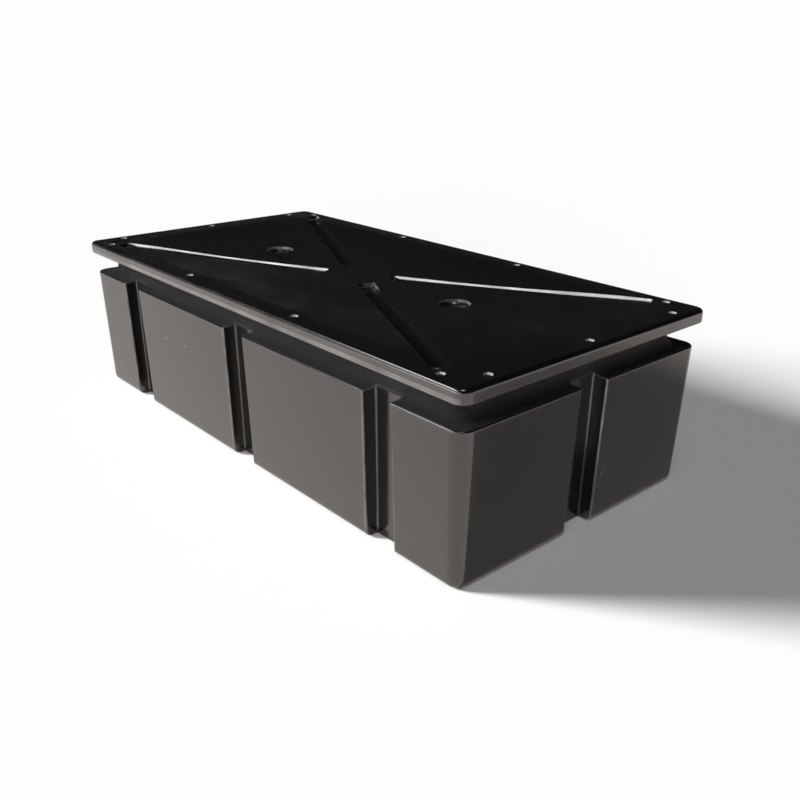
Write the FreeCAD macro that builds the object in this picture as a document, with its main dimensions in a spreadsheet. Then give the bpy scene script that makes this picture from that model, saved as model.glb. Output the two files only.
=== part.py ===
import FreeCAD, Part
import Sketcher
import math
import os
import re

# Dock float drum: one rotationally moulded shell.
# Frame: origin at the centre of the underside, +X along the drum, +Y across it, +Z up to the deck.
# All lengths are in millimetres and all angles in degrees.

SIZES = {
    "flange_length": 1220.0,
    "flange_width": 615.0,
    "flange_thickness": 25.0,
    "flange_corner_radius": 21.0,
    "flange_rim_radius": 8.0,
    "flange_under_bevel": 2.0,
    "overall_height": 338.0,
    "deck_border": 22.0,
    "deck_sag": 9.0,
    "deck_sag_lift": 0.5,
    "channel_height": 43.0,
    "channel_depth": 40.0,
    "neck_corner_radius": 24.0,
    "neck_foot_radius": 18.0,
    "neck_head_bevel": 4.0,
    "hull_inset": 6.5,
    "hull_draft": 1.7,
    "hull_corner_radius": 26.0,
    "hull_foot_radius": 14.0,
    "shoulder_edge_radius": 3.5,
    "side_groove_width": 66.0,
    "side_groove_floor_land": 5.0,
    "side_groove_end_distance": 192.0,
    "side_groove_floor_draft": 1.15,
    "side_groove_wall_draft": 0.5,
    "side_groove_edge_radius": 4.0,
    "side_groove_overlap": 0.3,
    "side_groove_root_radius": 4.0,
    "deck_groove_width": 36.0,
    "deck_groove_depth": 9.0,
    "deck_groove_wall_draft": 12.0,
    "deck_groove_corner_radius": 5.0,
    "deck_groove_root_bevel": 3.0,
    "deck_groove_centre_distance": 72.0,
    "deck_groove_corner_distance": 98.0,
    "recess_diameter": 60.0,
    "recess_depth": 8.0,
    "recess_wall_draft": 8.0,
    "recess_root_bevel": 3.0,
    "recess_spacing": 564.0,
    "bolt_hole_diameter": 10.0,
    "bolt_hole_mouth_bevel": 2.5,
    "bolt_hole_edge_distance": 25.0,
    "long_side_hole_end_distance": 70.0,
    "short_side_hole_end_distance": 75.0,
    "cutter_clearance": 20.0,
}

# Lengths that several features share, as expressions of the sizes
FLANGE_UNDERSIDE = "(overall_height - flange_thickness)"
SHOULDER = "(overall_height - flange_thickness - channel_height)"
NECK_LENGTH = "(flange_length - 2 * channel_depth)"
NECK_WIDTH = "(flange_width - 2 * channel_depth)"
HULL_LENGTH = "(flange_length - 2 * hull_inset)"
HULL_WIDTH = "(flange_width - 2 * hull_inset)"
HALF_DIAGONAL = "(sqrt(flange_length ^ 2 + flange_width ^ 2) / 2)"
DIAGONAL_ANGLE = "atan(flange_width / flange_length)"

# Two places closer together than this are one place
NEAR = 0.01

doc = FreeCAD.newDocument("dock_float_drum")
sheet = doc.addObject("Spreadsheet::Sheet", "sizes")
for row, (name, size) in enumerate(SIZES.items(), start=1):
    sheet.set("A%d" % row, name)
    sheet.set("B%d" % row, str(size))
    sheet.setAlias("B%d" % row, name)
doc.recompute()


def number(expression):
    """Value of an expression in the sheet's own names, as a plain number."""
    result = sheet.evalExpression(expression)
    return float(getattr(result, "Value", result))


def in_sheet(expression):
    """The same expression for use in another object, with each size named through the sheet."""
    return re.sub("[a-z_]+", lambda word: "sizes." + word[0] if word[0] in SIZES else word[0], expression)


def origin_plane(body, role):
    return next(feature for feature in body.Origin.OriginFeatures if feature.Role == role)


def new_sketch(body, name, role, height="0"):
    """Sketch on one of the body's origin planes, moved along that plane's normal by a height."""
    sketch = body.newObject("Sketcher::SketchObject", name)
    sketch.AttachmentSupport = [(origin_plane(body, role), "")]
    sketch.MapMode = "FlatFace"
    sketch.setExpression("AttachmentOffset.Base.z", in_sheet(height))
    return sketch


def drive(sketch, name, expression, *constraint):
    """Adds a dimension to a sketch and ties it to an expression of the sizes."""
    index = sketch.addConstraint(Sketcher.Constraint(*constraint, number(expression)))
    sketch.renameConstraint(index, name)
    sketch.setExpression("Constraints." + name, in_sheet(expression))


def rounded_rectangle(sketch, length, width, radius):
    """Outline centred on the sketch's origin, its four corners equal arcs."""
    half_x = number(length) / 2
    half_y = number(width) / 2
    corner = number(radius)
    arcs = []
    quarter_turn = math.pi / 2
    for turns, (side_x, side_y) in enumerate(((1, 1), (-1, 1), (-1, -1), (1, -1))):
        centre = FreeCAD.Vector(side_x * (half_x - corner), side_y * (half_y - corner), 0)
        full_circle = Part.Circle(centre, FreeCAD.Vector(0, 0, 1), corner)
        arc = Part.ArcOfCircle(full_circle, turns * quarter_turn, (turns + 1) * quarter_turn)
        arcs.append(sketch.addGeometry(arc, False))
    sides = []
    for index, arc in enumerate(arcs):
        following = arcs[(index + 1) % 4]
        side = Part.LineSegment(sketch.getPoint(arc, 2), sketch.getPoint(following, 1))
        line = sketch.addGeometry(side, False)
        sketch.addConstraint(Sketcher.Constraint("Tangent", arc, 2, line, 1))
        sketch.addConstraint(Sketcher.Constraint("Tangent", line, 2, following, 1))
        sketch.addConstraint(Sketcher.Constraint("Vertical" if index % 2 else "Horizontal", line))
        sides.append(line)
    for arc in arcs[1:]:
        sketch.addConstraint(Sketcher.Constraint("Equal", arcs[0], arc))
    sketch.addConstraint(Sketcher.Constraint("Symmetric", arcs[0], 3, arcs[2], 3, -1, 1))
    drive(sketch, "corner", radius, "Radius", arcs[0])
    drive(sketch, "length", length, "DistanceX", sides[1], 1, sides[3], 1)
    drive(sketch, "width", width, "DistanceY", sides[2], 1, sides[0], 1)


def four_sides(sketch, points):
    """Closed outline of four lines through four points."""
    lines = []
    for index, point in enumerate(points):
        lines.append(sketch.addGeometry(Part.LineSegment(point, points[(index + 1) % 4]), False))
    for index, line in enumerate(lines):
        sketch.addConstraint(Sketcher.Constraint("Coincident", line, 2, lines[(index + 1) % 4], 1))
    return lines


def rectangle(sketch, name, left, right, low, high):
    """Rectangle from the places of its four sides, measured from the sketch's origin."""
    corners = ((left, low), (right, low), (right, high), (left, high))
    lines = four_sides(sketch, [FreeCAD.Vector(number(x), number(y), 0) for x, y in corners])
    for index, line in enumerate(lines):
        sketch.addConstraint(Sketcher.Constraint("Vertical" if index % 2 else "Horizontal", line))
    drive(sketch, name + "_left", left, "DistanceX", -1, 1, lines[0], 1)
    drive(sketch, name + "_right", right, "DistanceX", -1, 1, lines[2], 1)
    drive(sketch, name + "_low", low, "DistanceY", -1, 1, lines[0], 1)
    drive(sketch, name + "_high", high, "DistanceY", -1, 1, lines[2], 1)


def trapezoid(sketch, low_reach, high_reach, low, high):
    """Outline even about the sketch's upright axis, its level sides reaching out by two distances."""
    low_x, high_x, low_y, high_y = (number(length) for length in (low_reach, high_reach, low, high))
    corners = ((-low_x, low_y), (low_x, low_y), (high_x, high_y), (-high_x, high_y))
    lines = four_sides(sketch, [FreeCAD.Vector(x, y, 0) for x, y in corners])
    for level_line in (lines[0], lines[2]):
        sketch.addConstraint(Sketcher.Constraint("Symmetric", level_line, 1, level_line, 2, -2))
    drive(sketch, "low_reach", low_reach, "DistanceX", -1, 1, lines[0], 2)
    drive(sketch, "high_reach", high_reach, "DistanceX", -1, 1, lines[2], 1)
    drive(sketch, "low", low, "DistanceY", -1, 1, lines[0], 2)
    drive(sketch, "high", high, "DistanceY", -1, 1, lines[2], 1)


def circle(sketch, name, x, y, diameter):
    centre = FreeCAD.Vector(number(x), number(y), 0)
    ring = sketch.addGeometry(Part.Circle(centre, FreeCAD.Vector(0, 0, 1), number(diameter) / 2), False)
    drive(sketch, name + "_x", x, "DistanceX", -1, 1, ring, 3)
    drive(sketch, name + "_y", y, "DistanceY", -1, 1, ring, 3)
    drive(sketch, name + "_diameter", diameter, "Diameter", ring)


def mirror(body, original, *roles):
    """Repeats a feature of the body about the named origin planes."""
    copies = body.newObject("PartDesign::MultiTransform", original.Name + "_copies")
    copies.Originals = [original]
    steps = []
    for role in roles:
        step = body.newObject("PartDesign::Mirrored", original.Name + "_over_" + role[:2])
        step.MirrorPlane = (origin_plane(body, role), [""])
        steps.append(step)
    copies.Transformations = steps
    body.Tip = copies


def dress_edges(body, kind, name, size, test):
    """Fillet or chamfer on the edges of the body's last feature whose ends and middle pass a test."""
    doc.recompute()
    base = body.Tip
    names = []
    for index, edge in enumerate(base.Shape.Edges, start=1):
        first, last = edge.ParameterRange
        places = [edge.valueAt(first + (last - first) * share) for share in (0.0, 0.5, 1.0)]
        if test(places):
            names.append("Edge%d" % index)
    dressed = body.newObject("PartDesign::" + kind, name)
    dressed.Base = (base, names)
    dressed.setExpression("Radius" if kind == "Fillet" else "Size", in_sheet(size))
    doc.recompute()


def round_edges(body, name, radius, test):
    dress_edges(body, "Fillet", name, radius, test)


def bevel_edges(body, name, size, test):
    dress_edges(body, "Chamfer", name, size, test)


def plane_at_shoulder(body):
    """Level plane in a body at the shoulder's height, which the mould's drafts turn about."""
    plane = body.newObject("PartDesign::Plane", body.Name + "_shoulder")
    plane.AttachmentSupport = [(origin_plane(body, "XY_Plane"), "")]
    plane.MapMode = "FlatFace"
    plane.setExpression("AttachmentOffset.Base.z", in_sheet(SHOULDER))
    return plane


def slope_faces(body, plane, name, angle, test):
    """Mould draft on the faces that pass a test: they lean inwards below the plane."""
    doc.recompute()
    base = body.Tip
    names = ["Face%d" % index for index, face in enumerate(base.Shape.Faces, start=1) if test(face)]
    draft = body.newObject("PartDesign::Draft", name)
    draft.Base = (base, names)
    draft.NeutralPlane = (plane, [""])
    draft.setExpression("Angle", in_sheet(angle))
    draft.Reversed = True
    doc.recompute()


# Places that the edge and face tests below compare with
deck_level = number("overall_height")
half_length = number("flange_length / 2")
half_width = number("flange_width / 2")
flange_underside = number(FLANGE_UNDERSIDE)
shoulder_level = number(SHOULDER)
hull_half_length = number(HULL_LENGTH) / 2
hull_half_width = number(HULL_WIDTH) / 2


def all_at_height(places, height):
    return all(abs(place.z - height) < NEAR for place in places)


def is_deck_outline(places):
    return all_at_height(places, deck_level)


def is_under_flange(places):
    return all_at_height(places, flange_underside)


# Deck plate: a rounded rectangle with a rounded rim above and a small bevel below
plate = doc.addObject("PartDesign::Body", "flange_plate")
plate_outline = new_sketch(plate, "plate_outline", "XY_Plane", FLANGE_UNDERSIDE)
rounded_rectangle(plate_outline, "flange_length", "flange_width", "flange_corner_radius")
plate_pad = plate.newObject("PartDesign::Pad", "plate_pad")
plate_pad.Profile = plate_outline
plate_pad.setExpression("Length", in_sheet("flange_thickness"))
round_edges(plate, "flange_rim", "flange_rim_radius", is_deck_outline)
bevel_edges(plate, "flange_under_edge", "flange_under_bevel", is_under_flange)


def sagging_deck(x, y):
    """Height of the sag's surface over a place, as an expression: level at its border, broad and flat
    in its middle. Its border stands a hair above the deck, so that it meets the deck at a clear angle."""
    along = "(1 - (%s / (flange_length / 2 - deck_border)) ^ 4)" % x
    across = "(1 - (%s / (flange_width / 2 - deck_border)) ^ 4)" % y
    fall = "(deck_sag + deck_sag_lift) * (%s * %s) ^ 2" % (along, across)
    return "(overall_height + deck_sag_lift - %s)" % fall


# The sag is cut by a smooth surface through a grid of heights
GRID_STEPS = 6
sag_half_length = number("flange_length / 2 - deck_border")
sag_half_width = number("flange_width / 2 - deck_border")
grid = []
for i in range(-GRID_STEPS, GRID_STEPS + 1):
    x = sag_half_length * i / GRID_STEPS
    line = []
    for j in range(-GRID_STEPS, GRID_STEPS + 1):
        y = sag_half_width * j / GRID_STEPS
        line.append(FreeCAD.Vector(x, y, number(sagging_deck(abs(x), abs(y)))))
    grid.append(line)
sag_surface = Part.BSplineSurface()
sag_surface.interpolate(grid)
space_over_deck = doc.addObject("Part::Feature", "space_over_deck")
space_over_deck.Shape = sag_surface.toShape().extrude(FreeCAD.Vector(0, 0, number("cutter_clearance")))
sagging_plate = doc.addObject("Part::Cut", "sagging_plate")
sagging_plate.Base = plate
sagging_plate.Tool = space_over_deck
deck = doc.addObject("PartDesign::Body", "deck")
deck.BaseFeature = sagging_plate

# Four long grooves along the deck's diagonals, each as deep under the deck at one end as at the other
GROOVE_START = "deck_groove_centre_distance"
GROOVE_END = "(%s - deck_groove_corner_distance)" % HALF_DIAGONAL
groove_ends = []
floor_heights = []
for end, distance in (("inner", GROOVE_START), ("outer", GROOVE_END)):
    profile = new_sketch(deck, "deck_groove_%s_end" % end, "YZ_Plane")
    turn = FreeCAD.Rotation(FreeCAD.Vector(0, 1, 0), number(DIAGONAL_ANGLE))
    profile.AttachmentOffset = FreeCAD.Placement(FreeCAD.Vector(0, 0, 0), turn)
    x = "(%s * cos(%s))" % (distance, DIAGONAL_ANGLE)
    y = "(%s * sin(%s))" % (distance, DIAGONAL_ANGLE)
    local_deck = "min(overall_height; %s)" % sagging_deck(x, y)
    for bound, expression in (
        ("Rotation.Angle", DIAGONAL_ANGLE),
        ("Base.x", y),
        ("Base.y", local_deck),
        ("Base.z", x),
    ):
        profile.setExpression("AttachmentOffset." + bound, in_sheet(expression))
    trapezoid(
        profile,
        "deck_groove_width / 2 - deck_groove_depth * tan(deck_groove_wall_draft)",
        "deck_groove_width / 2 + cutter_clearance * tan(deck_groove_wall_draft)",
        "-deck_groove_depth",
        "cutter_clearance",
    )
    groove_ends.append(profile)
    floor_heights.append(number(local_deck + " - deck_groove_depth"))
deck_groove = deck.newObject("PartDesign::SubtractiveLoft", "deck_groove")
deck_groove.Profile = groove_ends[0]
deck_groove.Sections = [groove_ends[1]]
deck_groove.Ruled = True
mirror(deck, deck_groove, "YZ_Plane", "XZ_Plane")

diagonal_angle = math.atan(half_width / half_length)
groove_start = number(GROOVE_START)
groove_end = number(GROOVE_END)
rim_reach = number("flange_rim_radius") + NEAR


def groove_floor_height(place):
    """Height of the nearest groove's floor, which slopes evenly from its inner end to its outer one."""
    along = abs(place.x) * math.cos(diagonal_angle) + abs(place.y) * math.sin(diagonal_angle)
    share = (along - groove_start) / (groove_end - groove_start)
    return floor_heights[0] + share * (floor_heights[1] - floor_heights[0])


def is_groove_floor_edge(places):
    return all(abs(place.z - groove_floor_height(place)) < NEAR for place in places)


def is_groove_corner(places):
    """Steep edge inside the flange's rim, where a groove's wall meets its end."""
    start, middle, end = places
    is_steep = abs(end.z - start.z) > math.hypot(end.x - start.x, end.y - start.y)
    return is_steep and half_length - abs(middle.x) > rim_reach and half_width - abs(middle.y) > rim_reach


round_edges(deck, "deck_groove_corners", "deck_groove_corner_radius", is_groove_corner)
bevel_edges(deck, "deck_groove_roots", "deck_groove_root_bevel", is_groove_floor_edge)

# Two round recesses on the deck's middle line
RECESS_FLOOR = "(%s - recess_depth)" % sagging_deck("(recess_spacing / 2)", 0)
recess = deck.newObject("PartDesign::SubtractiveCone", "round_recess")
recess.AttachmentSupport = [(origin_plane(deck, "XY_Plane"), "")]
recess.MapMode = "FlatFace"
for bound, expression in (
    ("AttachmentOffset.Base.x", "recess_spacing / 2"),
    ("AttachmentOffset.Base.z", RECESS_FLOOR),
    ("Radius1", "recess_diameter / 2 - recess_depth * tan(recess_wall_draft)"),
    ("Radius2", "recess_diameter / 2 + cutter_clearance * tan(recess_wall_draft)"),
    ("Height", "recess_depth + cutter_clearance"),
):
    recess.setExpression(bound, in_sheet(expression))
mirror(deck, recess, "YZ_Plane")

recess_floor = number(RECESS_FLOOR)
recess_centre = number("recess_spacing / 2")
recess_reach = number("recess_diameter / 2")


def is_recess_floor_edge(places):
    is_in_recess = all(math.hypot(abs(place.x) - recess_centre, place.y) < recess_reach for place in places)
    return is_in_recess and all_at_height(places, recess_floor)


bevel_edges(deck, "recess_roots", "recess_root_bevel", is_recess_floor_edge)

# Fourteen bolt holes through the flange: four along each long side, three along each short side
bolt_circles = new_sketch(deck, "bolt_hole_circles", "XY_Plane", "overall_height")
long_side_y = "(flange_width / 2 - bolt_hole_edge_distance)"
short_side_x = "(flange_length / 2 - bolt_hole_edge_distance)"
outermost_x = "(flange_length / 2 - long_side_hole_end_distance)"
outermost_y = "(flange_width / 2 - short_side_hole_end_distance)"
hole_places = {}
for side, sign in (("front", "-1"), ("back", "1")):
    for place, share in enumerate(("-1", "-1 / 3", "1 / 3", "1"), start=1):
        hole_places["%s_%d" % (side, place)] = (share + " * " + outermost_x, sign + " * " + long_side_y)
for side, sign in (("left", "-1"), ("right", "1")):
    for place, share in enumerate(("-1", "0", "1"), start=1):
        hole_places["%s_%d" % (side, place)] = (sign + " * " + short_side_x, share + " * " + outermost_y)
for name, (x, y) in hole_places.items():
    circle(bolt_circles, name, x, y, "bolt_hole_diameter")
bolt_holes = deck.newObject("PartDesign::Pocket", "bolt_holes")
bolt_holes.Profile = bolt_circles
bolt_holes.Type = "ThroughAll"
hole_diameter = number("bolt_hole_diameter")


def is_hole_mouth(places):
    """Whole circle at the deck's height, as wide as a bolt hole."""
    start, middle, end = places
    is_circle = start.distanceToPoint(end) < NEAR
    is_hole_wide = abs(start.distanceToPoint(middle) - hole_diameter) < NEAR
    return is_circle and is_hole_wide and is_deck_outline(places)


bevel_edges(deck, "bolt_hole_mouths", "bolt_hole_mouth_bevel", is_hole_mouth)

# Neck: the walls at the back of the channel under the flange
shell = doc.addObject("PartDesign::Body", "smooth_shell")
neck_outline = new_sketch(shell, "neck_outline", "XY_Plane", SHOULDER)
rounded_rectangle(neck_outline, NECK_LENGTH, NECK_WIDTH, "neck_corner_radius")
neck = shell.newObject("PartDesign::Pad", "neck")
neck.Profile = neck_outline
neck.setExpression("Length", in_sheet("channel_height"))

# Hull: from the shoulder down to the underside, narrowing with the mould's draft
hull_outline = new_sketch(shell, "hull_outline", "XY_Plane", SHOULDER)
rounded_rectangle(hull_outline, HULL_LENGTH, HULL_WIDTH, "hull_corner_radius")
hull = shell.newObject("PartDesign::Pad", "hull")
hull.Profile = hull_outline
hull.Reversed = True
hull.setExpression("Length", in_sheet(SHOULDER))
shell_shoulder = plane_at_shoulder(shell)


def is_hull_side(face):
    """Faces that stand between the underside and the shoulder."""
    box = face.BoundBox
    return box.ZMin < NEAR and abs(box.ZMax - shoulder_level) < NEAR


neck_half_length = number(NECK_LENGTH) / 2
neck_half_width = number(NECK_WIDTH) / 2


def is_on_neck(place):
    return abs(place.x) < neck_half_length + NEAR and abs(place.y) < neck_half_width + NEAR


def is_neck_foot(places):
    return all_at_height(places, shoulder_level) and all(is_on_neck(place) for place in places)


def is_shoulder_edge(places):
    """Outer edge of the shoulder, on the hull's own outline."""
    return all_at_height(places, shoulder_level) and not any(is_on_neck(place) for place in places)


def is_hull_foot(places):
    return all_at_height(places, 0)


slope_faces(shell, shell_shoulder, "hull_sides", "hull_draft", is_hull_side)
round_edges(shell, "neck_foot", "neck_foot_radius", is_neck_foot)
round_edges(shell, "shoulder_edge", "shoulder_edge_radius", is_shoulder_edge)
round_edges(shell, "hull_foot", "hull_foot_radius", is_hull_foot)

# Block a hair larger than the hull, which carries the hull's upright grooves: three in each long side,
# one in the middle of each short side. Their mouths are rounded in it, and the hull's faces cut them clean.
BLOCK_X = "(%s / 2 + side_groove_overlap)" % HULL_LENGTH
BLOCK_Y = "(%s / 2 + side_groove_overlap)" % HULL_WIDTH
block = doc.addObject("PartDesign::Body", "grooved_block")
block_outline = new_sketch(block, "block_outline", "XY_Plane", "overall_height")
rectangle(block_outline, "block", "-1 * " + BLOCK_X, BLOCK_X, "-1 * " + BLOCK_Y, BLOCK_Y)
block_pad = block.newObject("PartDesign::Pad", "block_pad")
block_pad.Profile = block_outline
block_pad.Reversed = True
block_pad.setExpression("Length", in_sheet("overall_height + cutter_clearance"))
block_shoulder = plane_at_shoulder(block)


def is_upright(face):
    return face.BoundBox.ZLength > deck_level


slope_faces(block, block_shoulder, "block_sides", "hull_draft", is_upright)

# The grooves' floors stand a little in front of the neck, so that they run out in the neck's foot
FLOOR_X = "(flange_length / 2 - channel_depth + side_groove_floor_land)"
FLOOR_Y = "(flange_width / 2 - channel_depth + side_groove_floor_land)"
BEYOND_X = "(flange_length / 2 + cutter_clearance)"
BEYOND_Y = "(flange_width / 2 + cutter_clearance)"
HALF_GROOVE = "side_groove_width / 2"
side_outlines = new_sketch(block, "side_groove_outlines", "XY_Plane", "overall_height")
for place, share in (("left", "-1"), ("middle", "0"), ("right", "1")):
    centre = share + " * (flange_length / 2 - side_groove_end_distance)"
    left = centre + " - " + HALF_GROOVE
    right = centre + " + " + HALF_GROOVE
    rectangle(side_outlines, "front_" + place, left, right, "-1 * " + BEYOND_Y, "-1 * " + FLOOR_Y)
    rectangle(side_outlines, "back_" + place, left, right, FLOOR_Y, BEYOND_Y)
low = "-1 * " + HALF_GROOVE
rectangle(side_outlines, "end_left", "-1 * " + BEYOND_X, "-1 * " + FLOOR_X, low, HALF_GROOVE)
rectangle(side_outlines, "end_right", FLOOR_X, BEYOND_X, low, HALF_GROOVE)
side_grooves = block.newObject("PartDesign::Pocket", "side_grooves")
side_grooves.Profile = side_outlines
side_grooves.Type = "ThroughAll"

floor_half_length = number(FLOOR_X)
floor_half_width = number(FLOOR_Y)
groove_depth = hull_half_width - floor_half_width


def is_groove_floor(face):
    centre = face.CenterOfMass
    box = face.BoundBox
    on_long_side = box.YLength < NEAR and abs(abs(centre.y) - floor_half_width) < NEAR
    on_short_side = box.XLength < NEAR and abs(abs(centre.x) - floor_half_length) < NEAR
    return on_long_side or on_short_side


def is_groove_wall(face):
    """Flat upright faces that reach in about as far as a groove is deep."""
    box = face.BoundBox
    is_flat = min(box.XLength, box.YLength) < NEAR
    reach = max(box.XLength, box.YLength)
    return is_upright(face) and is_flat and groove_depth - NEAR < reach < 2 * groove_depth


slope_faces(block, block_shoulder, "side_groove_floors", "side_groove_floor_draft", is_groove_floor)
slope_faces(block, block_shoulder, "side_groove_walls", "side_groove_wall_draft", is_groove_wall)


def is_upright_edge(places, half_x, half_y):
    """Upright edge of the block on a rectangle of half sizes, clear of the block's own four corners."""
    top = max(places, key=lambda place: place.z)
    bottom = min(places, key=lambda place: place.z)
    is_tall = top.z - bottom.z > deck_level
    from_x = abs(abs(top.x) - half_x)
    from_y = abs(abs(top.y) - half_y)
    return is_tall and min(from_x, from_y) < groove_depth / 4 and max(from_x, from_y) > groove_depth


def is_groove_root(places):
    """Upright corner between a groove's floor and its wall."""
    return is_upright_edge(places, floor_half_length, floor_half_width)


def is_groove_mouth(places):
    """Upright edge between a groove's wall and the hull's face."""
    return is_upright_edge(places, hull_half_length, hull_half_width)


round_edges(block, "side_groove_roots", "side_groove_root_radius", is_groove_root)
round_edges(block, "side_groove_edges", "side_groove_edge_radius", is_groove_mouth)
grooved_shell = doc.addObject("Part::Common", "grooved_shell")
grooved_shell.Base = shell
grooved_shell.Tool = block

# The whole drum: deck, neck and hull in one, with the corner under the flange bevelled
one_piece = doc.addObject("Part::Fuse", "one_piece")
one_piece.Base = deck
one_piece.Tool = grooved_shell
drum = doc.addObject("PartDesign::Body", "float_drum")
drum.BaseFeature = one_piece


def is_neck_head(places):
    return is_under_flange(places) and all(is_on_neck(place) for place in places)


bevel_edges(drum, "neck_head", "neck_head_bevel", is_neck_head)

for made in doc.Objects:
    if "Invalid" in made.State or "Error" in made.State:
        raise RuntimeError("%s is %s" % (made.Name, made.State))
if drum.Shape.isNull() or not drum.Shape.isValid() or len(drum.Shape.Solids) != 1:
    raise RuntimeError("The drum isn't one valid solid")
os.makedirs("parts", exist_ok=True)
drum.Shape.exportStep("parts/float_drum.step")
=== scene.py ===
import math

import bpy
from mathutils import Matrix, Vector

# Looks of a dock float drum: one black polyethylene moulding with a deck flange, a channel under it and
# a hull with upright grooves. Everything is in metres, in the part's own frame: +X along the drum,
# +Y across it, +Z up, and the origin in the middle of the underside.
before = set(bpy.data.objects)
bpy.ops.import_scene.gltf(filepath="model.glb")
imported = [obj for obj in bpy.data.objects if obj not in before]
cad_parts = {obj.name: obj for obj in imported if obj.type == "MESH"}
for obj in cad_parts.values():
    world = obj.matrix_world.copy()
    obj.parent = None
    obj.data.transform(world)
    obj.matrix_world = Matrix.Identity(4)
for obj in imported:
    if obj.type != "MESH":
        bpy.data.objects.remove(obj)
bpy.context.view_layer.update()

MM = 0.001


# Camera: it looks down over the drum's front right corner
CAMERA_PLACE = Vector((1.3639, -1.0871, 0.7757))
CAMERA_HEADING = math.radians(48.52)
CAMERA_LOOKS_DOWN = math.radians(22.59)
CAMERA_ROLL = math.radians(0.455)
CAMERA_LENS = 39.15
CAMERA_SENSOR = 36.0


def make_camera():
    data = bpy.data.cameras.new("camera")
    data.sensor_width = CAMERA_SENSOR
    data.lens = CAMERA_LENS
    camera = bpy.data.objects.new("camera", data)
    turn = Matrix.Rotation(CAMERA_HEADING, 4, "Z")
    tilt = Matrix.Rotation(math.radians(90) - CAMERA_LOOKS_DOWN, 4, "X")
    roll = Matrix.Rotation(CAMERA_ROLL, 4, "Z")
    camera.matrix_world = Matrix.Translation(CAMERA_PLACE) @ turn @ tilt @ roll
    bpy.context.scene.collection.objects.link(camera)
    bpy.context.scene.camera = camera


# Node building, shared by the materials and the room. A Mix node that mixes colours takes its share and its
# two colours at the first three of these sockets, and gives the mixed colour at the last.
MIX_SHARE = 0
MIX_FROM = 6
MIX_TO = 7
MIXED = 2


def linear(colour):
    """Linear red, green, blue and full alpha of an sRGB hex colour such as #1A1A1B."""
    channels = [int(colour[i:i + 2], 16) / 255 for i in (1, 3, 5)]
    return [c / 12.92 if c <= 0.04045 else ((c + 0.055) / 1.055) ** 2.4 for c in channels] + [1.0]


def add_node(tree, kind, inputs=None, result=0, **settings):
    """Adds a node and gives its first output, or the one asked for, or nothing where it has none. Each
    input is either a value or another node's output to link."""
    node = tree.nodes.new("ShaderNode" + kind)
    for name, value in settings.items():
        setattr(node, name, value)
    for socket, value in (inputs or {}).items():
        if isinstance(value, bpy.types.NodeSocket):
            tree.links.new(value, node.inputs[socket])
        else:
            node.inputs[socket].default_value = value
    return node.outputs[result] if len(node.outputs) else None


def empty_tree(owner):
    """The node tree of a new material or world, with nothing in it yet."""
    owner.use_nodes = True
    owner.node_tree.nodes.clear()
    return owner.node_tree


# Heights and half sizes of the drum that the looks follow
DECK_LEVEL = 338 * MM
FLANGE_UNDERSIDE = 313 * MM
SHOULDER_LEVEL = 270 * MM
HALF_LENGTH = 610 * MM
HALF_WIDTH = 307.5 * MM


def from_outline(tree, place):
    """How far outside the deck's outline a place lies: zero on it, and negative inside it."""
    share = add_node(tree, "VectorMath", {0: place}, operation="ABSOLUTE")
    beyond = add_node(tree, "VectorMath", {0: share, 1: (HALF_LENGTH, HALF_WIDTH, 0)}, operation="SUBTRACT")
    beyond_end = add_node(tree, "SeparateXYZ", {"Vector": beyond}, "X")
    beyond_side = add_node(tree, "SeparateXYZ", {"Vector": beyond}, "Y")
    return add_node(tree, "Math", {0: beyond_end, 1: beyond_side}, operation="MAXIMUM")


# Skin of a rotational moulding, from the widest ripple to the finest: how wide and how high each is, and
# how broken up. The grain is drawn a little coarser than a mould's, or it wouldn't show.
SKIN_RIPPLES = {
    "slow wave of a large flat panel": (140 * MM, 0.35 * MM, 1.0),
    "orange peel of the cooling skin": (14 * MM, 0.045 * MM, 2.0),
    "grain of the steel mould": (1.6 * MM, 0.006 * MM, 2.0),
}
EDGE_SOFTENING = 0.4 * MM
BEVEL_SAMPLES = 6


def rippled_skin(tree):
    place = add_node(tree, "TexCoord", result="Object")
    skin = add_node(tree, "Bevel", {"Radius": EDGE_SOFTENING}, samples=BEVEL_SAMPLES)
    for wave, height, detail in SKIN_RIPPLES.values():
        ripple = add_node(tree, "TexNoise", {"Vector": place, "Scale": 1 / wave, "Detail": detail})
        inputs = {"Height": ripple, "Distance": height, "Strength": 1.0, "Normal": skin}
        skin = add_node(tree, "Bump", inputs)
    return skin


# Worn spots that the photograph shows: the middle of each and its half sizes, in millimetres. Each fades
# towards its edge, and is broken up into speckles.
WORN_SPOTS = {
    "front_foot_nick": ((387, -294.5, 40), (7, 4, 3)),
    "front_middle_rub": ((-278, -298.5, 184), (10, 4, 3)),
    "front_groove_rub": ((-195, -298.5, 188), (7, 4, 3)),
    "end_upper_scratch": ((598.5, 58, 98), (4, 4, 9)),
    "end_lower_scratch": ((597.5, 52, 88), (4, 4, 8)),
    # The spot by the bolt hole is a pale patch at the hole's far rim
    "pale_patch_by_hole": ((519, -272, 338), (14, 5, 4)),
}
SPOT_FADE = {"From Min": 1.0, "From Max": 0.5}
SPECKLE_SIZE = 2.2 * MM
SPECKLE_DETAIL = 3.0
SPECKLES = {"From Min": 0.42, "From Max": 0.62}


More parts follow.
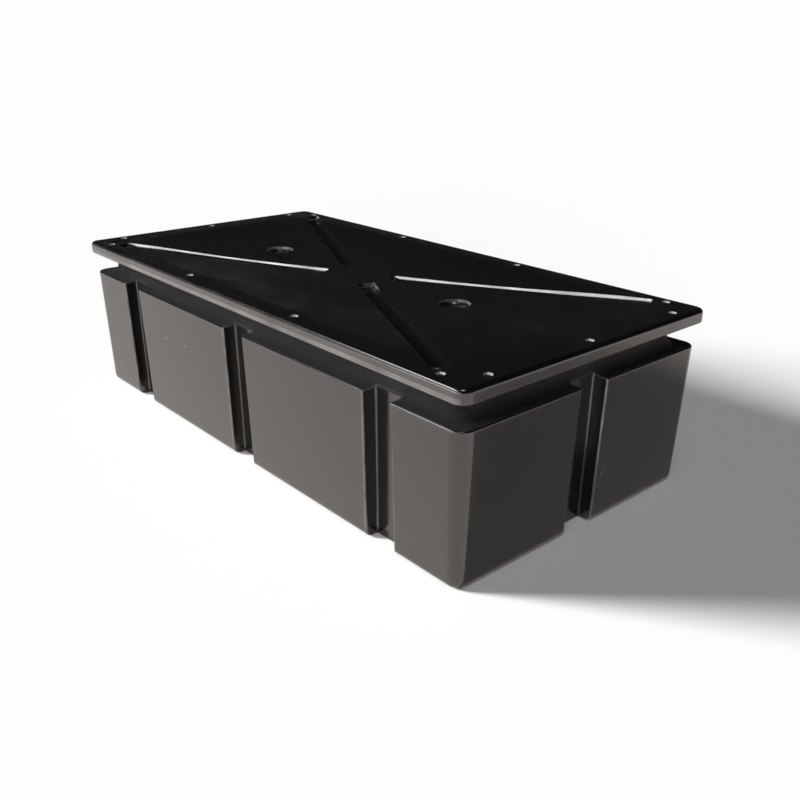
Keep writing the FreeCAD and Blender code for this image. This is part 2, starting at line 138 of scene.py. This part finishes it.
def worn_spots(tree):
    place = add_node(tree, "TexCoord", result="Object")
    worn = 0.0
    for middle, half_sizes in WORN_SPOTS.values():
        centre = [length * MM for length in middle]
        stretch = [1 / (length * MM) for length in half_sizes]
        offset = add_node(tree, "VectorMath", {0: place, 1: centre}, operation="SUBTRACT")
        scaled = add_node(tree, "VectorMath", {0: offset, 1: stretch}, operation="MULTIPLY")
        reach = add_node(tree, "VectorMath", {0: scaled}, "Value", operation="LENGTH")
        spot = add_node(tree, "MapRange", {"Value": reach, **SPOT_FADE})
        worn = add_node(tree, "Math", {0: worn, 1: spot}, operation="MAXIMUM")
    inputs = {"Vector": place, "Scale": 1 / SPECKLE_SIZE, "Detail": SPECKLE_DETAIL}
    lumps = add_node(tree, "TexNoise", inputs)
    speckles = add_node(tree, "MapRange", {"Value": lumps, **SPECKLES})
    return add_node(tree, "Math", {0: worn, 1: speckles}, operation="MULTIPLY")


# Painted highlight: the upright edges and the rounded mouths of the hull's grooves are painted pale where
# light catches them, here more and there less. A range goes from none of it to the full painted highlight.
EDGE_SHEEN_WIDTH = 8 * MM
EDGE_AGREEMENT = {"From Min": 0.98, "From Max": 0.85}
EDGE_RISE = {"From Min": 0.5, "From Max": 0.2}
MOUTH_TURN = {"From Min": 0.1, "From Max": 0.4}
OFF_CORNER = {"From Min": 1.80, "From Max": 1.74}
SHEEN_PATCH = 35 * MM
SHEEN_DETAIL = 4.0
SHEEN_PATCHES = {"From Min": 0.3, "From Max": 0.7, "To Min": 0.15, "To Max": 0.8}

# The painted highlight leaves out the deck's grooves, apart from their ends. The rest of them lies in a band
# inside the deck's
# outline: how far in the band's middle is, and how far from that the painted highlight starts again.
GROOVE_BAND_INSET = 153 * MM
OFF_GROOVE_BAND = {"From Min": 115 * MM, "From Max": 124 * MM}


def near_upright_edges(tree):
    """A wide softening of the surface agrees less with the true surface near an edge."""
    normal = add_node(tree, "NewGeometry", result="Normal")
    widened = add_node(tree, "Bevel", {"Radius": EDGE_SHEEN_WIDTH}, samples=BEVEL_SAMPLES)
    agreement = add_node(tree, "VectorMath", {0: normal, 1: widened}, "Value", operation="DOT_PRODUCT")
    edges = add_node(tree, "MapRange", {"Value": agreement, **EDGE_AGREEMENT})
    rise = add_node(tree, "SeparateXYZ", {"Vector": normal}, "Z")
    rise = add_node(tree, "Math", {0: rise}, operation="ABSOLUTE")
    upright = add_node(tree, "MapRange", {"Value": rise, **EDGE_RISE})
    return add_node(tree, "Math", {0: edges, 1: upright}, operation="MULTIPLY")


def groove_mouths(tree, place):
    """They face between the drum's long and short sides, and lie well away from its four corners, where a
    place's shares of the half length and the half width add up to nearly 2."""
    normal = add_node(tree, "NewGeometry", result="Normal")
    turned = add_node(tree, "VectorMath", {0: normal}, operation="ABSOLUTE")
    endwards = add_node(tree, "SeparateXYZ", {"Vector": turned}, "X")
    sidewards = add_node(tree, "SeparateXYZ", {"Vector": turned}, "Y")
    between = add_node(tree, "Math", {0: endwards, 1: sidewards}, operation="MULTIPLY")
    mouths = add_node(tree, "MapRange", {"Value": between, **MOUTH_TURN})
    share = add_node(tree, "VectorMath", {0: place}, operation="ABSOLUTE")
    inputs = {0: share, 1: (1 / HALF_LENGTH, 1 / HALF_WIDTH, 0)}
    cornerward = add_node(tree, "VectorMath", inputs, "Value", operation="DOT_PRODUCT")
    off_corner = add_node(tree, "MapRange", {"Value": cornerward, **OFF_CORNER})
    return add_node(tree, "Math", {0: mouths, 1: off_corner}, operation="MULTIPLY")


# Painted highlight: pale colour on the upright edges and groove mouths, in patches
def painted_edge_highlights(tree):
    place = add_node(tree, "TexCoord", result="Object")
    edges = add_node(tree, "Math", {0: near_upright_edges(tree), 1: groove_mouths(tree, place)}, operation="MAXIMUM")
    inputs = {"Vector": place, "Scale": 1 / SHEEN_PATCH, "Detail": SHEEN_DETAIL}
    lumps = add_node(tree, "TexNoise", inputs)
    patchy = add_node(tree, "MapRange", {"Value": lumps, **SHEEN_PATCHES})
    from_band = add_node(tree, "Math", {0: from_outline(tree, place), 1: GROOVE_BAND_INSET}, operation="ADD")
    from_band = add_node(tree, "Math", {0: from_band}, operation="ABSOLUTE")
    off_band = add_node(tree, "MapRange", {"Value": from_band, **OFF_GROOVE_BAND})
    for mask in (patchy, off_band):
        edges = add_node(tree, "Math", {0: edges, 1: mask}, operation="MULTIPLY")
    return edges


# The two halves of the mould meet along the flange's side, where the seam stands out as a pale line. The
# flange's long sides are painted paler in patches as a painted reflection, more below the seam than above
# it.
SEAM_LEVEL = 322 * MM
SEAM_REACH = 1.2 * MM
SEAM_CORE = 0.36 * MM
SEAM = {"From Min": SEAM_REACH, "From Max": SEAM_CORE, "To Max": 0.7}
REFLECTION_BELOW_SEAM = {"From Min": SEAM_LEVEL + SEAM_REACH, "From Max": SEAM_LEVEL, "To Min": 0.15, "To Max": 0.55}
REFLECTION_PATCH = 90 * MM
REFLECTION_DETAIL = 5.0
REFLECTION_PATCHES = {"From Min": 0.35, "From Max": 0.65, "To Min": 0.4}
OUTERMOST = {"From Min": -6 * MM, "From Max": -3 * MM}
OVER_CHANNEL = {"From Min": FLANGE_UNDERSIDE, "From Max": FLANGE_UNDERSIDE + 2 * MM}
LONG_SIDE = {"From Min": 0.5, "From Max": 0.8}


# Pale seam line, and painted reflection on the flange's long sides
def seam_and_painted_reflection(tree):
    place = add_node(tree, "TexCoord", result="Object")
    height = add_node(tree, "SeparateXYZ", {"Vector": place}, "Z")
    from_seam = add_node(tree, "Math", {0: height, 1: SEAM_LEVEL}, operation="SUBTRACT")
    from_seam = add_node(tree, "Math", {0: from_seam}, operation="ABSOLUTE")
    seam = add_node(tree, "MapRange", {"Value": from_seam, **SEAM})
    below_seam = add_node(tree, "MapRange", {"Value": height, **REFLECTION_BELOW_SEAM})
    pale = add_node(tree, "Math", {0: seam, 1: below_seam}, operation="MAXIMUM")

    normal = add_node(tree, "NewGeometry", result="Normal")
    sideways = add_node(tree, "SeparateXYZ", {"Vector": normal}, "Y")
    sideways = add_node(tree, "Math", {0: sideways}, operation="ABSOLUTE")
    inputs = {"Vector": place, "Scale": 1 / REFLECTION_PATCH, "Detail": REFLECTION_DETAIL}
    lumps = add_node(tree, "TexNoise", inputs)
    for value, limits in (
        (lumps, REFLECTION_PATCHES),
        (from_outline(tree, place), OUTERMOST),
        (height, OVER_CHANNEL),
        (sideways, LONG_SIDE),
    ):
        mask = add_node(tree, "MapRange", {"Value": value, **limits})
        pale = add_node(tree, "Math", {0: pale, 1: mask}, operation="MULTIPLY")
    return pale


# Painted highlight: the bevelled mouths of the bolt holes are painted pale where they catch light. The holes
# stand in rows along the deck's outline.
HOLE_EDGE_DISTANCE = 25 * MM
HOLE_MOUTH_REACH = 8 * MM
HOLE_MOUTH_DEPTH = 3 * MM
HOLE_MOUTH_TILT = {"From Min": 0.95, "From Max": 0.85}


def painted_hole_mouth_highlights(tree):
    place = add_node(tree, "TexCoord", result="Object")
    normal = add_node(tree, "NewGeometry", result="Normal")
    from_row = add_node(tree, "Math", {0: from_outline(tree, place), 1: HOLE_EDGE_DISTANCE}, operation="ADD")
    from_row = add_node(tree, "Math", {0: from_row}, operation="ABSOLUTE")
    in_row = add_node(tree, "Math", {0: from_row, 1: HOLE_MOUTH_REACH}, operation="LESS_THAN")
    height = add_node(tree, "SeparateXYZ", {"Vector": place}, "Z")
    inputs = {0: height, 1: DECK_LEVEL - HOLE_MOUTH_DEPTH}
    near_deck = add_node(tree, "Math", inputs, operation="GREATER_THAN")
    rise = add_node(tree, "SeparateXYZ", {"Vector": normal}, "Z")
    bevels = add_node(tree, "MapRange", {"Value": rise, **HOLE_MOUTH_TILT})
    for mask in (in_row, near_deck):
        bevels = add_node(tree, "Math", {0: bevels, 1: mask}, operation="MULTIPLY")
    return bevels


# Dust lies thinly on what faces up, in patches a hand or two wide
FACING_UP = {"From Min": 0.9, "From Max": 1.0}
DUST_PATCH = 180 * MM
DUST_DETAIL = 6.0
DUST = {"From Min": 0.35, "From Max": 0.75, "To Max": 0.006}


def settled_dust(tree):
    place = add_node(tree, "TexCoord", result="Object")
    normal = add_node(tree, "NewGeometry", result="Normal")
    rise = add_node(tree, "SeparateXYZ", {"Vector": normal}, "Z")
    facing_up = add_node(tree, "MapRange", {"Value": rise, **FACING_UP})
    lumps = add_node(tree, "TexNoise", {"Vector": place, "Scale": 1 / DUST_PATCH, "Detail": DUST_DETAIL})
    patches = add_node(tree, "MapRange", {"Value": lumps, **DUST})
    return add_node(tree, "Math", {0: facing_up, 1: patches}, operation="MULTIPLY")


# Handling leaves the gloss uneven and the worn spots dull, and the channel under the flange keeps the
# dull, unpolished skin of its side of the mould
SMEAR_SIZE = 60 * MM
SMEAR_DETAIL = 4.0
SMEARS = {"From Min": 0.3, "From Max": 0.7, "To Min": 0.13, "To Max": 0.21}
WORN_DULLNESS = 0.3
CHANNEL_DULLNESS = 0.8
OVER_SHOULDER = {"From Min": SHOULDER_LEVEL - 0.4 * MM, "From Max": SHOULDER_LEVEL - 0.1 * MM}
UNDER_FLANGE = {"From Min": FLANGE_UNDERSIDE + 1 * MM, "From Max": FLANGE_UNDERSIDE}


def uneven_gloss(tree, worn):
    place = add_node(tree, "TexCoord", result="Object")
    lumps = add_node(tree, "TexNoise", {"Vector": place, "Scale": 1 / SMEAR_SIZE, "Detail": SMEAR_DETAIL})
    gloss = add_node(tree, "MapRange", {"Value": lumps, **SMEARS})
    gloss = add_node(tree, "Math", {0: worn, 1: WORN_DULLNESS, 2: gloss}, operation="MULTIPLY_ADD")
    height = add_node(tree, "SeparateXYZ", {"Vector": place}, "Z")
    over_shoulder = add_node(tree, "MapRange", {"Value": height, **OVER_SHOULDER})
    under_flange = add_node(tree, "MapRange", {"Value": height, **UNDER_FLANGE})
    in_channel = add_node(tree, "Math", {0: over_shoulder, 1: under_flange}, operation="MULTIPLY")
    return add_node(tree, "Math", {0: in_channel, 1: CHANNEL_DULLNESS, 2: gloss}, operation="MULTIPLY_ADD")


# Black polyethylene, rotationally moulded against a polished steel mould. The skin is smooth and waxy, so
# it mirrors the floor softly, and rubbing turns it pale. Its edges, hole mouths and flange sides also carry
# painted highlight and painted reflection.
POLYETHYLENE_BLACK = "#0C0C0D"
POLYETHYLENE_IOR = 1.54
POLYETHYLENE_SPECULAR = 1.0
DUST_GREY = "#8A8780"
# The grey of the painted highlight on the edges and of the painted reflection on the flange
PAINTED_SHEEN_GREY = "#7A7876"
# The grey of the painted highlight on the bolt holes' mouths
HOLE_MOUTH_HIGHLIGHT_GREY = "#8E8C89"
WORN_GREY = "#5C5C5C"


def polyethylene():
    material = bpy.data.materials.new("rotomoulded_black_polyethylene")
    tree = empty_tree(material)
    worn = worn_spots(tree)
    colour = linear(POLYETHYLENE_BLACK)
    for share, tint in (
        (settled_dust(tree), DUST_GREY),
        # pale seam line and painted reflection on the flange's long sides
        (seam_and_painted_reflection(tree), PAINTED_SHEEN_GREY),
        # painted highlight on the upright edges and the hull's groove mouths
        (painted_edge_highlights(tree), PAINTED_SHEEN_GREY),
        # painted highlight on the bolt holes' bevelled mouths
        (painted_hole_mouth_highlights(tree), HOLE_MOUTH_HIGHLIGHT_GREY),
        (worn, WORN_GREY),
    ):
        inputs = {MIX_SHARE: share, MIX_FROM: colour, MIX_TO: linear(tint)}
        colour = add_node(tree, "Mix", inputs, MIXED, data_type="RGBA")
    shader = add_node(tree, "BsdfPrincipled", {
        "Base Color": colour,
        "Roughness": uneven_gloss(tree, worn),
        "IOR": POLYETHYLENE_IOR,
        "Specular IOR Level": POLYETHYLENE_SPECULAR,
        "Normal": rippled_skin(tree),
    })
    add_node(tree, "OutputMaterial", {"Surface": shader})
    return material


# Matt painted studio floor. The camera sees it white, as the photograph's ground, and the drum mirrors it
# a little warm, as the photograph's panels do.
FLOOR_WHITE = "#FCFCFB"
FLOOR_MIRRORED = "#FCF4EE"
FLOOR_RADIUS = 60.0
FLOOR_STEPS = 96
FLOOR_DROP = 0.2 * MM


def floor_paint():
    material = bpy.data.materials.new("matt_white_floor_paint")
    tree = empty_tree(material)
    camera_ray = add_node(tree, "LightPath", result="Is Camera Ray")
    inputs = {MIX_SHARE: camera_ray, MIX_FROM: linear(FLOOR_MIRRORED), MIX_TO: linear(FLOOR_WHITE)}
    colour = add_node(tree, "Mix", inputs, MIXED, data_type="RGBA")
    shader = add_node(tree, "BsdfDiffuse", {"Color": colour})
    add_node(tree, "OutputMaterial", {"Surface": shader})
    return material


def make_floor():
    mesh = bpy.data.meshes.new("studio_floor")
    angles = [math.tau * step / FLOOR_STEPS for step in range(FLOOR_STEPS)]
    corners = [(FLOOR_RADIUS * math.cos(angle), FLOOR_RADIUS * math.sin(angle), 0) for angle in angles]
    mesh.from_pydata(corners, [], [range(FLOOR_STEPS)])
    mesh.materials.append(floor_paint())
    floor = bpy.data.objects.new("studio_floor", mesh)
    floor.location.z = -FLOOR_DROP
    bpy.context.scene.collection.objects.link(floor)


# Lamps: a key from the left, which leaves the end face in its own shade, a weak fill from the front, and
# a small high lamp that the bevelled mouths of the bolt holes mirror. The plastic doesn't mirror the first
# two. Angles are in degrees, and a heading is counted from +X towards +Y.
LAMPS = {
    "key": {"heading": 221, "height": 20, "strength": 7.1, "spread": 16, "is_mirrored": False},
    "fill": {"heading": 310, "height": 12, "strength": 1.3, "spread": 30, "is_mirrored": False},
    "overhead": {"heading": 318, "height": 73, "strength": 0.45, "spread": 18, "is_mirrored": True},
}


def make_lamps():
    for name, lamp in LAMPS.items():
        data = bpy.data.lights.new(name, "SUN")
        data.energy = lamp["strength"]
        data.angle = math.radians(lamp["spread"])
        light = bpy.data.objects.new(name, data)
        turn = Matrix.Rotation(math.radians(lamp["heading"] + 90), 4, "Z")
        tilt = Matrix.Rotation(math.radians(90 - lamp["height"]), 4, "X")
        light.matrix_world = turn @ tilt
        light.visible_glossy = lamp["is_mirrored"]
        bpy.context.scene.collection.objects.link(light)


# Room: a low white backdrop all round, with the dark studio above it. The camera sees white throughout,
# and gloss sees the same backdrop as high as it stands, which leaves the deck dark as photographed. The
# last two are heights above the horizon, where the white starts to fade and where the dark is full.
ROOM_DARK = "#1B1B1C"
BACKDROP_WHITE = "#FEFEFD"
BACKDROP_TOP = math.radians(3)
ROOM_STARTS = math.radians(5)

# Windows that only gloss shows, with their angles in degrees. The low one is to the left of the camera and
# a little behind it, and shows in the long walls of two of the deck's grooves. The high one is straight to
# the left, and shows on the rims. Their edges fade over the same share of a sine or a cosine.
WINDOWS = {
    "low": {"heading": 259, "half_width": 37, "sill": 4.4, "top": 10.5, "strength": 16.0},
    "high": {"heading": 232, "half_width": 30, "sill": 31, "top": 45, "strength": 9.0},
}
WINDOW_FADE = 0.035


def window_mask(tree, direction, window):
    plan = add_node(tree, "VectorMath", {0: direction, 1: (1, 1, 0)}, operation="MULTIPLY")
    plan = add_node(tree, "VectorMath", {0: plan}, operation="NORMALIZE")
    heading = math.radians(window["heading"])
    inputs = {0: plan, 1: (math.cos(heading), math.sin(heading), 0)}
    aim = add_node(tree, "VectorMath", inputs, "Value", operation="DOT_PRODUCT")
    side = math.cos(math.radians(window["half_width"]))

    # The Z of a direction is the sine of its height above the floor
    height = add_node(tree, "SeparateXYZ", {"Vector": direction}, "Z")
    sill = math.sin(math.radians(window["sill"]))
    top = math.sin(math.radians(window["top"]))
    mask = 1.0
    for value, edge, fade in (
        (aim, side, WINDOW_FADE),
        (height, sill, WINDOW_FADE),
        (height, top, -WINDOW_FADE),
    ):
        within = add_node(tree, "MapRange", {"Value": value, "From Min": edge, "From Max": edge + fade})
        mask = add_node(tree, "Math", {0: mask, 1: within}, operation="MULTIPLY")
    return mask


def make_room():
    world = bpy.data.worlds.new("studio")
    tree = empty_tree(world)
    direction = add_node(tree, "TexCoord", result="Generated")
    camera_ray = add_node(tree, "LightPath", result="Is Camera Ray")
    gloss_ray = add_node(tree, "LightPath", result="Is Glossy Ray")
    clear_ray = add_node(tree, "LightPath", result="Is Transmission Ray")

    height = add_node(tree, "SeparateXYZ", {"Vector": direction}, "Z")
    inputs = {"Value": height, "From Min": math.sin(ROOM_STARTS), "From Max": math.sin(BACKDROP_TOP)}
    low = add_node(tree, "MapRange", inputs)
    mirrored = add_node(tree, "Math", {0: gloss_ray, 1: clear_ray}, operation="MAXIMUM")
    mirrored = add_node(tree, "Math", {0: mirrored, 1: low}, operation="MULTIPLY")
    white = add_node(tree, "Math", {0: camera_ray, 1: mirrored}, operation="MAXIMUM")
    inputs = {MIX_SHARE: white, MIX_FROM: linear(ROOM_DARK), MIX_TO: linear(BACKDROP_WHITE)}
    colour = add_node(tree, "Mix", inputs, MIXED, data_type="RGBA")

    # The room shines with a strength of 1, and each window raises that to its own where it shows
    strength = 1.0
    for window in WINDOWS.values():
        mask = window_mask(tree, direction, window)
        shown = add_node(tree, "Math", {0: mask, 1: gloss_ray}, operation="MULTIPLY")
        inputs = {MIX_SHARE: shown, MIX_FROM: colour, MIX_TO: linear(BACKDROP_WHITE)}
        colour = add_node(tree, "Mix", inputs, MIXED, data_type="RGBA")
        inputs = {0: shown, 1: window["strength"] - 1, 2: strength}
        strength = add_node(tree, "Math", inputs, operation="MULTIPLY_ADD")

    background = add_node(tree, "Background", {"Color": colour, "Strength": strength})
    add_node(tree, "OutputWorld", {"Surface": background})
    bpy.context.scene.world = world


bpy.context.scene.view_settings.view_transform = "Standard"
make_camera()
make_floor()
make_lamps()
make_room()

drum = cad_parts["float_drum"]
drum.data.materials.clear()
drum.data.materials.append(polyethylene())
